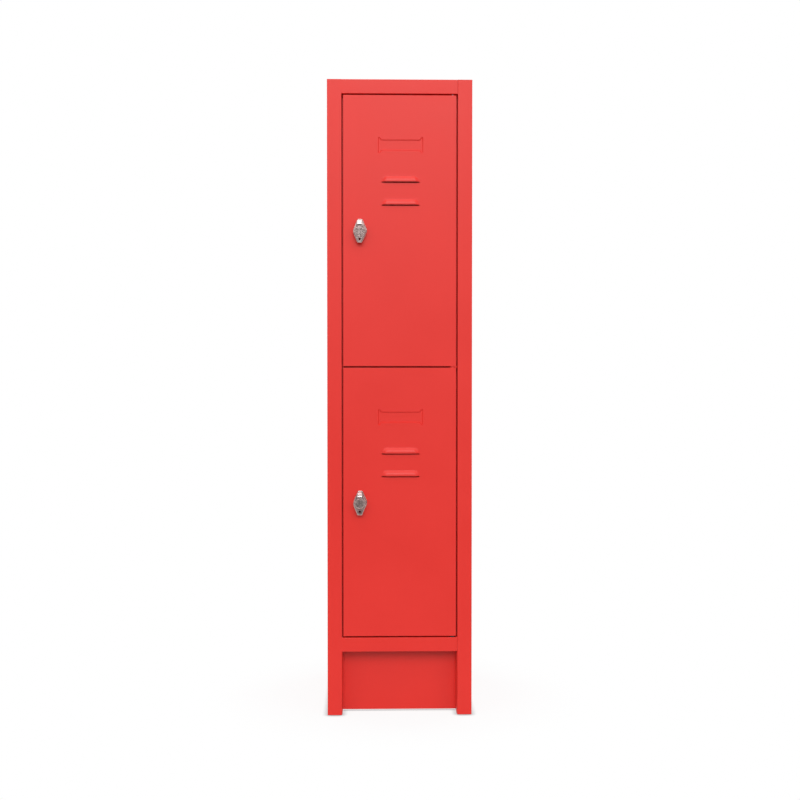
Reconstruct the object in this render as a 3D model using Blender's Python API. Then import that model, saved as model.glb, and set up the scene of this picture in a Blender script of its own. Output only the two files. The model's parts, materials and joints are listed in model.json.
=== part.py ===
"""Two-door compartment locker, built from folded steel sheet, with pivot hinges and padlock turn latches.

Metres, +Z up, the front faces -Y, and the origin is on the floor under the middle of the locker's box.
"""
import math

import bmesh
import bpy
from mathutils import Matrix, Vector

# Overall sizes
LOCKER_HEIGHT = 1.800
LOCKER_WIDTH = 0.410
CARCASS_DEPTH = 0.500
SHEET = 0.001
SEAM_GAP = 0.0003
BEND_RADIUS = 0.0013
BEND_STEPS = 3

# Front frame
STILE_WIDTH = 0.041
RAIL_HEIGHT = 0.040
LEG_HEIGHT = 0.181
STOP_DEPTH = 0.024
STOP_LIP = 0.012
RAIL_UNDER_RETURN = 0.015
BACK_FLANGE = 0.018
WELD_FLANGE = 0.016
FOOT_FLANGE = 0.020
FOOT_CLEARANCE = 0.012
KICK_SETBACK = 0.056
KICK_FLOOR_GAP = 0.0015
KICK_LAP_FRONT = 0.008
SHELF_EDGE = 0.025
SHELF_HEM = 0.012

# Doors
DOOR_GAP = 0.004
DOOR_THICKNESS = 0.018
DOOR_LIP = 0.012
STIFFENER_EDGE = 0.062
STIFFENER_CROWN = 0.026
STIFFENER_FOOT = 0.012
STIFFENER_DEPTH = 0.014
STIFFENER_END_GAP = 0.020

# Pressed louvres and label field, measured down from the door's top edge
PRESSING_SHIFT = 0.0025
LOUVRE_COUNT = 2
LOUVRE_DROP = 0.2432
LOUVRE_PITCH = 0.0645
LOUVRE_HEIGHT = 0.0168
LOUVRE_SLIT = 0.0029
LOUVRE_TOP_WIDTH = 0.092
LOUVRE_LIP_WIDTH = 0.107
LOUVRE_RISE = 0.0055
LOUVRE_COLUMNS = 22
LOUVRE_ROWS = 9
LOUVRE_SHOULDER = 0.22
LOUVRE_CREST = 0.75
LOUVRE_LEAD = 0.7
LABEL_DROP = 0.1403
LABEL_LENGTH = 0.127
LABEL_EAR_HEIGHT = 0.0445
LABEL_WAIST_HEIGHT = 0.0305
LABEL_WAIST_LENGTH = 0.107
LABEL_EAR_LENGTH = 0.0045
LABEL_CORNER_RADIUS = 0.0022
LABEL_DEPTH = 0.0026
LABEL_WALL = 0.0018

# Pivot hinges at the right-hand edge
PIVOT_EDGE = 0.010
PIVOT_DEPTH = 0.009
PIVOT_RADIUS = 0.003
PIVOT_REACH = 0.010
PIVOT_HEAD_RADIUS = 0.005
PIVOT_HEAD_HEIGHT = 0.0022
RUNNING_CLEARANCE = 0.0003
BRACKET_LENGTH = 0.022
BRACKET_FRONT = 0.001
BRACKET_REAR = 0.018
BRACKET_THICKNESS = 0.003
WASHER_RADIUS = 0.008

# Turn latch, measured from the door's left and top edges
LATCH_EDGE = 0.0468
LATCH_DROP = 0.3845
LATCH_PLATE_RADIUS = 0.0195
LATCH_PLATE_HEIGHT = 0.067
LATCH_PLATE_TIP_WIDTH = 0.0130
LATCH_PLATE_THICKNESS = 0.006
LATCH_PLATE_SHIFT_X = 0.0012
LATCH_PLATE_SHIFT_Z = 0.0025
LATCH_PLATE_EDGE_ROUND = 0.0015
LATCH_TIP_RADIUS = 0.0035
PADLOCK_HOLE_RADIUS = 0.0034
PADLOCK_HOLE_OFFSET = 0.0222
BARREL_RADIUS = 0.0095
BARREL_LENGTH = 0.013
NUT_ACROSS_FLATS = 0.026
NUT_HEIGHT = 0.005
SPINDLE_RADIUS = 0.006
SPINDLE_SQUARE = 0.007
KNOB_RADIUS = 0.0183
KNOB_HEIGHT = 0.065
KNOB_NECK_WIDTH = 0.0136
KNOB_THICKNESS = 0.012
KNOB_EDGE_ROUND = 0.0026
KNOB_FACE_RADIUS = 0.0150
KNOB_FACE_HEIGHT = 0.003
KNOB_FACE_EDGE = 0.0007
KNOB_RIM = 0.0020
KNOB_DISH = 0.0012
KNOB_TAB_ROOT = 0.0200
KNOB_TAB_HEIGHT = 0.006
KNOB_TAB_CREST = 0.0025
KNOB_TAB_EDGE = 0.0008
EDGE_ROUND_STEPS = 3
CAM_LENGTH = 0.054
CAM_WIDTH = 0.018
CAM_TAIL = 0.012
CAM_THICKNESS = 0.003
CAM_CLEARANCE = 0.0016
CAM_WASHER_RADIUS = 0.009
CAM_WASHER_THICKNESS = 0.0012
SCREW_RADIUS = 0.0022
SCREW_DEPTH = 0.010
SCREW_HEAD_RADIUS = 0.0045
SCREW_HEAD_HEIGHT = 0.003
SCREW_HEAD_EDGE = 0.001
SCREW_DRIVE_RADIUS = 0.0016
SCREW_DRIVE_DEPTH = 0.0015

# Small pieces inside
BUFFER_RADIUS = 0.003
BUFFER_EDGE = 0.001
BUFFER_INSET = 0.120
HOOK_STRIP_WIDTH = 0.018
HOOK_STRIP_THICKNESS = 0.0025
HOOK_BASE = 0.042
HOOK_DROP = 0.040
HOOK_REACH = 0.028
HOOK_UPTURN = 0.016
HOOK_BEND = 0.005
RIVET_RADIUS = 0.002
RIVET_HEAD_RADIUS = 0.004
RIVET_CROWN_RADIUS = 0.0024
RIVET_HEAD_HEIGHT = 0.0016
RIVET_EDGE = 0.010

# Finishes: linear colour, roughness, metallic
FINISHES = {
    "red_paint": ((0.791, 0.060, 0.048), 0.38, 0.0),
    "zinc": ((0.540, 0.520, 0.500), 0.32, 1.0),
    "black_nylon": ((0.012, 0.012, 0.012), 0.55, 0.0),
    "black_rubber": ((0.012, 0.012, 0.012), 0.85, 0.0),
}
MATERIALS = {}

# Smoothness of the round forms, and how far a cutter runs past what it cuts
ROUND_STEPS = 32
SMALL_ROUND_STEPS = 20
SHARP_ANGLE = math.radians(35.0)
CUTTER_OVERRUN = 0.002

# Places that follow from the sizes
PLATE_FRONT = SEAM_GAP + LATCH_PLATE_THICKNESS
KNOB_BACK = PLATE_FRONT + SEAM_GAP
KNOB_FRONT = KNOB_BACK + KNOB_THICKNESS
LATCH_PROUD = KNOB_FRONT + KNOB_TAB_HEIGHT
FRONT = -(CARCASS_DEPTH - LATCH_PROUD) / 2.0
BACK = FRONT + CARCASS_DEPTH
SIDE = LOCKER_WIDTH / 2.0
OPENING_SIDE = SIDE - STILE_WIDTH
OPENING_TOP = LOCKER_HEIGHT - RAIL_HEIGHT
OPENING_BOTTOM = LEG_HEIGHT + RAIL_HEIGHT
STOP_REAR = STOP_DEPTH + SHEET
INNER_SIDE = SIDE - SHEET - SEAM_GAP
FRAME_SIDE = OPENING_SIDE - SEAM_GAP
DOOR_SIDE = OPENING_SIDE - DOOR_GAP
DOOR_HEIGHT = (OPENING_TOP - OPENING_BOTTOM - 3.0 * DOOR_GAP) / 2.0
STIFFENER_X = DOOR_SIDE - STIFFENER_EDGE
PIVOT_X = DOOR_SIDE - PIVOT_EDGE
PIVOT_Y = FRONT + PIVOT_DEPTH
BACK_PANEL_SIDE = SIDE - BEND_RADIUS - SEAM_GAP
BACK_PANEL_REAR = BACK - SHEET - SEAM_GAP
BACK_PANEL_FRONT = BACK_PANEL_REAR - SHEET
INNER_BACK = BACK_PANEL_FRONT - SEAM_GAP
SHELF_FRONT = FRONT + STOP_REAR + SEAM_GAP
CAM_FRONT = STOP_REAR + CAM_CLEARANCE
SPINDLE_END = CAM_FRONT + CAM_THICKNESS

DOOR_BOTTOMS = {
    "upper": OPENING_TOP - DOOR_GAP - DOOR_HEIGHT,
    "lower": OPENING_BOTTOM + DOOR_GAP,
}
SHELF_TOP = DOOR_BOTTOMS["upper"] - DOOR_GAP / 2.0 + SHELF_EDGE / 2.0
LATCH_X = -DOOR_SIDE + LATCH_EDGE
HOOK_FRONT = (FRONT + BACK - HOOK_BASE) / 2.0
RIVET_PLACES = (HOOK_FRONT + 2.0 * RIVET_EDGE, HOOK_FRONT + HOOK_BASE - RIVET_EDGE)


def clear_scene():
    for old in list(bpy.data.objects):
        bpy.data.objects.remove(old)


def paint(name, colour, roughness, metallic):
    """One material of a single surface finish, in linear colour."""
    material = bpy.data.materials.new(name)
    material.use_nodes = True
    surface = material.node_tree.nodes["Principled BSDF"]
    surface.inputs["Base Color"].default_value = (*colour, 1.0)
    surface.inputs["Roughness"].default_value = roughness
    surface.inputs["Metallic"].default_value = metallic
    return material


def add_object(name, bm, material, parent=None):
    """Turn a mesh made in world coordinates into an object that keeps its place under its parent."""
    mesh = bpy.data.meshes.new(name)
    bm.to_mesh(mesh)
    bm.free()
    mesh.shade_smooth()
    mesh.set_sharp_from_angle(angle=SHARP_ANGLE)
    mesh.materials.append(material)
    made = bpy.data.objects.new(name, mesh)
    bpy.context.scene.collection.objects.link(made)
    if parent is not None:
        made.parent = parent
        mesh.transform(Matrix.Translation(-world_place(parent)))
    return made


def add_axis(name, place, parent=None):
    """Empty on a joint's axis, which the moving pieces hang on."""
    axis = bpy.data.objects.new(name, None)
    axis.location = place
    if parent is not None:
        axis.parent = parent
        axis.location -= world_place(parent)
    bpy.context.scene.collection.objects.link(axis)
    return axis


def world_place(axis):
    """Place of a joint's axis in the locker, through the axis it hangs on."""
    place = Vector(axis.location)
    while axis.parent is not None:
        axis = axis.parent
        place += axis.location
    return place


def thicken(made, thickness=SHEET):
    """Give a folded surface its sheet thickness, behind its faces."""
    solid = made.modifiers.new("sheet", "SOLIDIFY")
    solid.thickness = thickness
    solid.offset = -1.0
    solid.use_even_offset = True


def join(made, added):
    """Fuse a hidden solid with an object."""
    combine(made, added, "UNION")


def cut(made, cutter):
    """Take a hidden solid out of an object."""
    combine(made, cutter, "DIFFERENCE")


def combine(made, tool, operation):
    tool.hide_render = True
    tool.display_type = "WIRE"
    boolean = made.modifiers.new(operation.lower(), "BOOLEAN")
    boolean.operation = operation
    boolean.solver = "EXACT"
    boolean.object = tool


def rounded(corners, radius, closed=False, steps=BEND_STEPS):
    """Points of a 2-D outline whose inner corners are arcs of one radius."""
    points = []
    count = len(corners)
    for index, corner in enumerate(corners):
        here = Vector(corner)
        if not closed and index in (0, count - 1):
            points.append(here)
            continue
        to_before = (Vector(corners[index - 1]) - here).normalized()
        to_after = (Vector(corners[(index + 1) % count]) - here).normalized()
        half = math.acos(max(-1.0, min(1.0, to_before.dot(to_after)))) / 2.0
        centre = here + (to_before + to_after).normalized() * (radius / math.sin(half))
        first = here + to_before * (radius / math.tan(half)) - centre
        turn = math.copysign(math.pi - 2.0 * half, to_after.cross(to_before))
        for step in range(steps + 1):
            points.append(centre + Matrix.Rotation(turn * step / steps, 2) @ first)
    return points


def circle(radius, steps, centre=(0.0, 0.0)):
    turns = [2.0 * math.pi * step / steps for step in range(steps)]
    return [Vector((centre[0] + radius * math.cos(a), centre[1] + radius * math.sin(a))) for a in turns]


def strip(bm, before, after):
    """Faces between two rows of vertices of the same length."""
    for index in range(len(before) - 1):
        bm.faces.new((before[index], before[index + 1], after[index + 1], after[index]))


def row(bm, points):
    return [bm.verts.new(point) for point in points]


def fold_rows(bm, first_row, path, place):
    """Extrude a row of vertices along a folded path; place(vertex, point) is where each new vertex goes."""
    before = first_row
    for point in path:
        after = row(bm, [place(vertex, point) for vertex in first_row])
        strip(bm, before, after)
        before = after
    return before


def prism(outline, start, end, to_world):
    """Closed solid of a flat outline between two levels; to_world maps (u, v, level) to a place."""
    bm = bmesh.new()
    face = bm.faces.new(row(bm, [to_world(p[0], p[1], start) for p in outline]))
    grown = bmesh.ops.extrude_face_region(bm, geom=[face])
    shift = to_world(0.0, 0.0, end) - to_world(0.0, 0.0, start)
    bmesh.ops.translate(bm, vec=shift, verts=[v for v in grown["geom"] if isinstance(v, bmesh.types.BMVert)])
    bmesh.ops.recalc_face_normals(bm, faces=bm.faces[:])
    return bm


def round_front(bm, radius):
    """Round the rim of a cast plate's front face."""
    front = min(bm.faces, key=lambda face: face.calc_center_median().y)
    bmesh.ops.bevel(bm, geom=front.edges[:], affect="EDGES", offset=radius,
                    segments=EDGE_ROUND_STEPS, profile=0.5)


def upright(x, y):
    """Axis along +Z at a place in plan."""
    return lambda u, v, level: Vector((x + u, y + v, level))


def from_front(x, z):
    """Axis along +Y through a point of the front, with levels measured back from the front plane."""
    return lambda u, v, level: Vector((x + u, FRONT + level, z + v))


def turned(profile, steps, to_world):
    """Closed solid of revolution; the profile is (radius, level) from the axis out and back to it."""
    bm = bmesh.new()
    rings = []
    for radius, level in profile:
        if rings and (radius, level) == profile[0]:
            rings.append(rings[0])
        elif radius == 0.0:
            rings.append([bm.verts.new(to_world(0.0, 0.0, level))])
        else:
            rings.append(row(bm, [to_world(p.x, p.y, level) for p in circle(radius, steps)]))
    for before, after in zip(rings, rings[1:]):
        for step in range(steps):
            following = (step + 1) % steps
            corners = [before[step % len(before)], before[following % len(before)],
                       after[following % len(after)], after[step % len(after)]]
            bm.faces.new(list(dict.fromkeys(corners)))
    bmesh.ops.recalc_face_normals(bm, faces=bm.faces[:])
    return bm


def cylinder(name, radius, start, end, to_world, parent=None):
    """Round solid that cuts a hole or is fused on."""
    bm = prism(circle(radius, SMALL_ROUND_STEPS), start, end, to_world)
    return add_object(name, bm, MATERIALS["zinc"], parent)


def face_outwards(bm, probe, direction):
    """Give an open surface consistent faces, with the one nearest to a probe point facing a direction."""
    bmesh.ops.recalc_face_normals(bm, faces=bm.faces[:])
    nearest = min(bm.faces, key=lambda face: (face.calc_center_median() - Vector(probe)).length)
    if nearest.normal.dot(Vector(direction)) < 0.0:
        bmesh.ops.reverse_faces(bm, faces=bm.faces[:])


def side_panel(name, hand):
    """Side sheet folded into stile, return and stop lip in front, a back flange and a foot flange."""
    corners = [
        (OPENING_SIDE, FRONT + STOP_DEPTH),
        (OPENING_SIDE, FRONT),
        (SIDE, FRONT),
        (SIDE, BACK),
        (SIDE - BACK_FLANGE, BACK),
    ]
    lip_bottom = OPENING_BOTTOM + SEAM_GAP
    lip_top = OPENING_TOP - STOP_LIP - SEAM_GAP
    return_top = LOCKER_HEIGHT - SHEET - SEAM_GAP
    bm = bmesh.new()
    rows = []
    for index, point in enumerate(rounded(corners, BEND_RADIUS)):
        top = return_top if index < 2 else LOCKER_HEIGHT
        rows.append(row(bm, [Vector((hand * point.x, point.y, z)) for z in (0.0, lip_bottom, lip_top, top)]))
    for before, after in zip(rows, rows[1:]):
        strip(bm, before, after)
    lip_root = rows[0][1:3]
    lip_tip = row(bm, [v.co - Vector((hand * STOP_LIP, 0.0, 0.0)) for v in lip_root])
    strip(bm, lip_tip, lip_root)
    wall_front = rows[2 * (BEND_STEPS + 1)][0]
    wall_back = rows[2 * (BEND_STEPS + 1) + 1][0]
    foot_front = bm.verts.new(wall_front.co + Vector((-hand * FOOT_FLANGE, FOOT_CLEARANCE, 0.0)))
    foot_back = bm.verts.new(wall_back.co + Vector((-hand * FOOT_FLANGE, -FOOT_CLEARANCE, 0.0)))
    bm.faces.new((wall_front, foot_front, foot_back, wall_back))
    face_outwards(bm, (hand * SIDE, 0.0, LOCKER_HEIGHT / 2.0), (hand, 0.0, 0.0))
    made = add_object(name, bm, MATERIALS["red_paint"])
    thicken(made)


def tray(name, level, notch_y, front_corners):
    """Horizontal sheet folded down at the sides and the back, with its own folds along the front edge.

    In front of notch_y the sheet is only as wide as the opening, to pass between the stiles.
    """
    down = level - WELD_FLANGE
    back_path = rounded([(notch_y, level), (INNER_BACK, level), (INNER_BACK, down)], BEND_RADIUS)
    side_path = rounded([(0.0, level), (INNER_SIDE, level), (INNER_SIDE, down)], BEND_RADIUS)
    front_path = rounded([(notch_y, level)] + front_corners, BEND_RADIUS)
    flat_side = side_path[1].x
    flat_back = back_path[1].x
    across = (-flat_side, -FRAME_SIDE, FRAME_SIDE, flat_side)
    bm = bmesh.new()
    front_row = row(bm, [Vector((x, notch_y, level)) for x in across])
    back_row = row(bm, [Vector((x, flat_back, level)) for x in across])
    strip(bm, front_row, back_row)
    fold_rows(bm, front_row[1:3], front_path[1:], lambda v, p: Vector((v.co.x, p.x, p.y)))
    fold_rows(bm, back_row, back_path[2:], lambda v, p: Vector((v.co.x, p.x, p.y)))
    for hand, end in ((-1.0, 0), (1.0, -1)):
        edge = [front_row[end], back_row[end]]
        fold_rows(bm, edge, side_path[2:], lambda v, p: Vector((hand * p.x, v.co.y, p.y)))
    face_outwards(bm, (0.0, 0.0, level), (0.0, 0.0, 1.0))
    made = add_object(name, bm, MATERIALS["red_paint"])
    thicken(made)
    return made


def top_panel():
    front = [
        (FRONT, LOCKER_HEIGHT),
        (FRONT, OPENING_TOP),
        (FRONT + STOP_DEPTH, OPENING_TOP),
        (FRONT + STOP_DEPTH, OPENING_TOP - STOP_LIP),
    ]
    made = tray("top_panel", LOCKER_HEIGHT, FRONT + SHEET + BEND_RADIUS, front)
    cut_pivot_hole(made, OPENING_TOP)
    cut_rivet_holes(made, LOCKER_HEIGHT)


def bottom_panel():
    front = [
        (FRONT, OPENING_BOTTOM),
        (FRONT, LEG_HEIGHT),
        (FRONT + RAIL_UNDER_RETURN, LEG_HEIGHT),
    ]
    made = tray("bottom_panel", OPENING_BOTTOM, FRONT + STOP_REAR + SEAM_GAP, front)
    cut_pivot_hole(made, OPENING_BOTTOM)


def divider_shelf():
    front = [
        (SHELF_FRONT, SHELF_TOP),
        (SHELF_FRONT, SHELF_TOP - SHELF_EDGE),
        (SHELF_FRONT + SHELF_HEM, SHELF_TOP - SHELF_EDGE),
    ]
    made = tray("divider_shelf", SHELF_TOP, SHELF_FRONT + SHEET + BEND_RADIUS, front)
    cut_rivet_holes(made, SHELF_TOP)


def back_panel():
    """Plain sheet inside the side panels' back flanges."""
    outline = [(-BACK_PANEL_SIDE, LEG_HEIGHT), (BACK_PANEL_SIDE, LEG_HEIGHT),
               (BACK_PANEL_SIDE, LOCKER_HEIGHT), (-BACK_PANEL_SIDE, LOCKER_HEIGHT)]
    bm = prism(outline, BACK_PANEL_FRONT - FRONT, BACK_PANEL_REAR - FRONT, from_front(0.0, 0.0))
    add_object("back_panel", bm, MATERIALS["red_paint"])


def kick_plate():
    """Plinth plate with its sides folded forward onto the legs and its top folded back under the floor."""
    face_y = FRONT + KICK_SETBACK
    lap_x = FRAME_SIDE - SHEET
    top = OPENING_BOTTOM - SHEET - SEAM_GAP
    lap_y = FRONT + KICK_LAP_FRONT
    corners = [(-lap_x, lap_y), (-lap_x, face_y), (lap_x, face_y), (lap_x, lap_y)]
    path = rounded(corners, BEND_RADIUS)
    top_path = rounded([(face_y, LEG_HEIGHT), (face_y, top), (face_y + WELD_FLANGE, top)], BEND_RADIUS)
    flange_top = LEG_HEIGHT - SEAM_GAP
    bm = bmesh.new()
    rows = [row(bm, [Vector((p.x, p.y, z)) for z in (KICK_FLOOR_GAP, flange_top)]) for p in path]
    for before, after in zip(rows, rows[1:]):
        strip(bm, before, after)
    face_edge = [rows[BEND_STEPS + 1][1], rows[BEND_STEPS + 2][1]]
    fold_rows(bm, face_edge, top_path[1:], lambda v, p: Vector((v.co.x, p.x, p.y)))
    face_outwards(bm, (0.0, face_y, flange_top / 2.0), (0.0, -1.0, 0.0))
    made = add_object("kick_plate", bm, MATERIALS["red_paint"])
    thicken(made)


def cut_pivot_hole(made, level):
    """Hole for a hinge pin through the sheet at one level."""
    name = made.name + "_pivot_hole_" + str(len(made.modifiers))
    radius = PIVOT_RADIUS + RUNNING_CLEARANCE
    reach = SHEET + CUTTER_OVERRUN
    hole = prism(circle(radius, SMALL_ROUND_STEPS), level - reach, level + reach, upright(PIVOT_X, PIVOT_Y))
    cut(made, add_object(name, hole, MATERIALS["zinc"], made.parent))


def cut_rivet_holes(made, level):
    """Holes for the hook's rivets through a compartment's ceiling."""
    for index, rivet_y in enumerate(RIVET_PLACES):
        reach = HOOK_STRIP_THICKNESS + SHEET + CUTTER_OVERRUN
        radius = RIVET_RADIUS + SEAM_GAP
        hole = prism(circle(radius, SMALL_ROUND_STEPS), level - reach, level + reach, upright(0.0, rivet_y))
        cut(made, add_object(made.name + "_rivet_hole_" + str(index), hole, MATERIALS["zinc"]))


def middle_pivot_bracket():
    """Tab in the gap between the doors, with a round end, welded to the right-hand stile's return."""
    half = (BRACKET_REAR - BRACKET_FRONT) / 2.0
    tip = FRAME_SIDE - BRACKET_LENGTH
    corners = [(FRAME_SIDE, FRONT + BRACKET_FRONT), (tip, FRONT + BRACKET_FRONT),
               (tip, FRONT + BRACKET_REAR), (FRAME_SIDE, FRONT + BRACKET_REAR)]
    outline = rounded(corners, half - SEAM_GAP, steps=2 * BEND_STEPS)
    middle = DOOR_BOTTOMS["upper"] - DOOR_GAP / 2.0
    bm = prism(outline, middle - BRACKET_THICKNESS / 2.0, middle + BRACKET_THICKNESS / 2.0, upright(0.0, 0.0))
    made = add_object("middle_pivot_bracket", bm, MATERIALS["red_paint"])
    cut_pivot_hole(made, middle)


def pivot_pins():
    """Top and bottom pins with a head inside the frame, and a plain middle pin through the bracket."""
    axis = upright(PIVOT_X, PIVOT_Y)
    seat = SHEET + SEAM_GAP
    reach = DOOR_GAP + SHEET + PIVOT_REACH
    for name, level, way in (("top_pivot_pin", OPENING_TOP, -1.0), ("bottom_pivot_pin", OPENING_BOTTOM, 1.0)):
        head = [(0.0, -seat - PIVOT_HEAD_HEIGHT), (PIVOT_HEAD_RADIUS, -seat - PIVOT_HEAD_HEIGHT),
                (PIVOT_HEAD_RADIUS, -seat)]
        shank = [(PIVOT_RADIUS, -seat), (PIVOT_RADIUS, reach - PIVOT_RADIUS / 2.0),
                 (PIVOT_RADIUS / 2.0, reach), (0.0, reach)]
        profile = [(radius, level + way * along) for radius, along in head + shank]
        add_object(name, turned(profile, SMALL_ROUND_STEPS, axis), MATERIALS["zinc"])
    middle = DOOR_BOTTOMS["upper"] - DOOR_GAP / 2.0
    half = DOOR_GAP / 2.0 + SHEET + PIVOT_REACH
    tip = PIVOT_RADIUS / 2.0
    profile = [(0.0, middle - half), (tip, middle - half), (PIVOT_RADIUS, middle - half + tip),
               (PIVOT_RADIUS, middle + half - tip), (tip, middle + half), (0.0, middle + half)]
    add_object("middle_pivot_pin", turned(profile, SMALL_ROUND_STEPS, axis), MATERIALS["zinc"])


def ring(inner, outer, start, end):
    """Profile of a flat ring."""
    return [(inner, start), (outer, start), (outer, end), (inner, end), (inner, start)]


def bottom_pivot_washer():
    start = OPENING_BOTTOM + SEAM_GAP
    end = DOOR_BOTTOMS["lower"] - SEAM_GAP
    profile = ring(PIVOT_RADIUS + RUNNING_CLEARANCE, WASHER_RADIUS, start, end)
    bm = turned(profile, ROUND_STEPS, upright(PIVOT_X, PIVOT_Y))
    add_object("bottom_pivot_washer", bm, MATERIALS["black_nylon"])


def coat_hook(tier, ceiling):
    """Strip hook riveted under a compartment's ceiling."""
    top = ceiling - SHEET - SEAM_GAP
    bend_y = HOOK_FRONT
    corners = [
        (bend_y + HOOK_BASE, top),
        (bend_y, top),
        (bend_y, top - HOOK_DROP),
        (bend_y + HOOK_REACH, top - HOOK_DROP),
        (bend_y + HOOK_REACH, top - HOOK_DROP + HOOK_UPTURN),
    ]
    bm = bmesh.new()
    half = HOOK_STRIP_WIDTH / 2.0
    rows = [row(bm, [Vector((x, p.x, p.y)) for x in (-half, half)]) for p in rounded(corners, HOOK_BEND)]
    for before, after in zip(rows, rows[1:]):
        strip(bm, before, after)
    face_outwards(bm, (0.0, bend_y + HOOK_BASE, top), (0.0, 0.0, 1.0))
    made = add_object("coat_hook_" + tier, bm, MATERIALS["zinc"])
    thicken(made, HOOK_STRIP_THICKNESS)
    cut_rivet_holes(made, ceiling)
    for place, rivet_y in zip(("front", "rear"), RIVET_PLACES):
        under = top - HOOK_STRIP_THICKNESS - SEAM_GAP
        profile = [(0.0, under - RIVET_HEAD_HEIGHT), (RIVET_CROWN_RADIUS, under - RIVET_HEAD_HEIGHT),
                   (RIVET_HEAD_RADIUS, under), (RIVET_RADIUS, under), (RIVET_RADIUS, ceiling - SEAM_GAP),
                   (0.0, ceiling - SEAM_GAP)]
        bm = turned(profile, SMALL_ROUND_STEPS, upright(0.0, rivet_y))
        add_object("hook_rivet_" + tier + "_" + place, bm, MATERIALS["zinc"])


def loop_edges(bm, loop):
    """Edges round a closed loop of vertices, made where they are missing."""
    pairs = zip(loop, loop[1:] + loop[:1])
    return [bm.edges.get(pair) or bm.edges.new(pair) for pair in pairs]


def smooth_rise(share):
    """Ease from 0 to 1 with level ends."""
    share = max(0.0, min(1.0, share))
    return share * share * (3.0 - 2.0 * share)


def louvre(bm, lip_z):
    """Pressed hood over an open slit; returns the loop where hood and slit meet the door's face."""
    rows = []
    for step in range(LOUVRE_ROWS + 1):
        down = step / LOUVRE_ROWS
        spread = math.sin(down * math.pi / 2.0)
        half = (LOUVRE_TOP_WIDTH + (LOUVRE_LIP_WIDTH - LOUVRE_TOP_WIDTH) * spread) / 2.0
        z = lip_z + LOUVRE_HEIGHT * (1.0 - down)
        points = []
        for column in range(LOUVRE_COLUMNS + 1):
            across = math.sin((2.0 * column / LOUVRE_COLUMNS - 1.0) * math.pi / 2.0)
            shoulder = smooth_rise((1.0 - abs(across)) / LOUVRE_SHOULDER)
            rise = LOUVRE_RISE * smooth_rise((down / LOUVRE_CREST) ** LOUVRE_LEAD) * shoulder
            points.append(Vector((PRESSING_SHIFT + half * across, FRONT - rise, z)))
        rows.append(row(bm, points))
    for before, after in zip(rows, rows[1:]):
        strip(bm, before, after)
    end = PRESSING_SHIFT + LOUVRE_LIP_WIDTH / 2.0
    other_end = PRESSING_SHIFT - LOUVRE_LIP_WIDTH / 2.0
    slit = row(bm, [Vector((x, FRONT, lip_z - LOUVRE_SLIT)) for x in (end, other_end)])
    return rows[0] + [r[-1] for r in rows[1:]] + slit + [r[0] for r in reversed(rows[1:])]


def label_field(bm, centre_z):
    """Shallow pressed field with a raised-ear corner at each end of its long sides."""
    ear = LABEL_EAR_HEIGHT / 2.0
    waist = LABEL_WAIST_HEIGHT / 2.0
    end = LABEL_LENGTH / 2.0
    quarter = [(LABEL_WAIST_LENGTH / 2.0, waist), (end - LABEL_EAR_LENGTH, ear), (end, ear)]
    top = [(-x, z) for x, z in reversed(quarter)] + quarter
    corners = top + [(x, -z) for x, z in reversed(top)]
    outline = rounded(corners, LABEL_CORNER_RADIUS, closed=True)
    loop = row(bm, [Vector((PRESSING_SHIFT + p.x, FRONT, centre_z + p.y)) for p in outline])
    field = bm.faces.new(loop)
    bm.normal_update()
    inwards = math.copysign(LABEL_DEPTH, field.normal.y)
    bmesh.ops.inset_region(bm, faces=[field], use_boundary=True, use_even_offset=True,
                           thickness=LABEL_WALL, depth=inwards)
    return loop


def door_panel(tier, axis):
    """Pan folded all round, with louvres, a label field, the latch hole and the two pivot holes."""
    bottom = DOOR_BOTTOMS[tier]
    top = bottom + DOOR_HEIGHT
    fold = [(DOOR_LIP, 0.0), (0.0, 0.0), (0.0, DOOR_THICKNESS), (DOOR_LIP, DOOR_THICKNESS)]
    bm = bmesh.new()
    loops = []
    for inset, depth in rounded(fold, BEND_RADIUS)[1:]:
        side = DOOR_SIDE - inset
        y = FRONT + depth
        loops.append(row(bm, [Vector((-side, y, bottom + inset)), Vector((side, y, bottom + inset)),
                              Vector((side, y, top - inset)), Vector((-side, y, top - inset))]))
    for before, after in zip(loops, loops[1:]):
        strip(bm, before + before[:1], after + after[:1])
    openings = [louvre(bm, top - LOUVRE_DROP - LOUVRE_PITCH * index) for index in range(LOUVRE_COUNT)]
    openings.append(label_field(bm, top - LABEL_DROP))
    hole = circle(BARREL_RADIUS + SEAM_GAP, ROUND_STEPS, (LATCH_X, top - LATCH_DROP))
    openings.append(row(bm, [Vector((p.x, FRONT, p.y)) for p in hole]))
    edges = [edge for loop in [loops[0]] + openings for edge in loop_edges(bm, loop)]
    bmesh.ops.triangle_fill(bm, edges=edges, use_beauty=True, normal=(0.0, -1.0, 0.0))
    face_outwards(bm, (DOOR_SIDE, FRONT + DOOR_THICKNESS / 2.0, bottom + DOOR_HEIGHT / 2.0), (1.0, 0.0, 0.0))
    made = add_object(tier + "_door_panel", bm, MATERIALS["red_paint"], axis)
    thicken(made)
    cut_pivot_hole(made, bottom)
    cut_pivot_hole(made, top)


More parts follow.
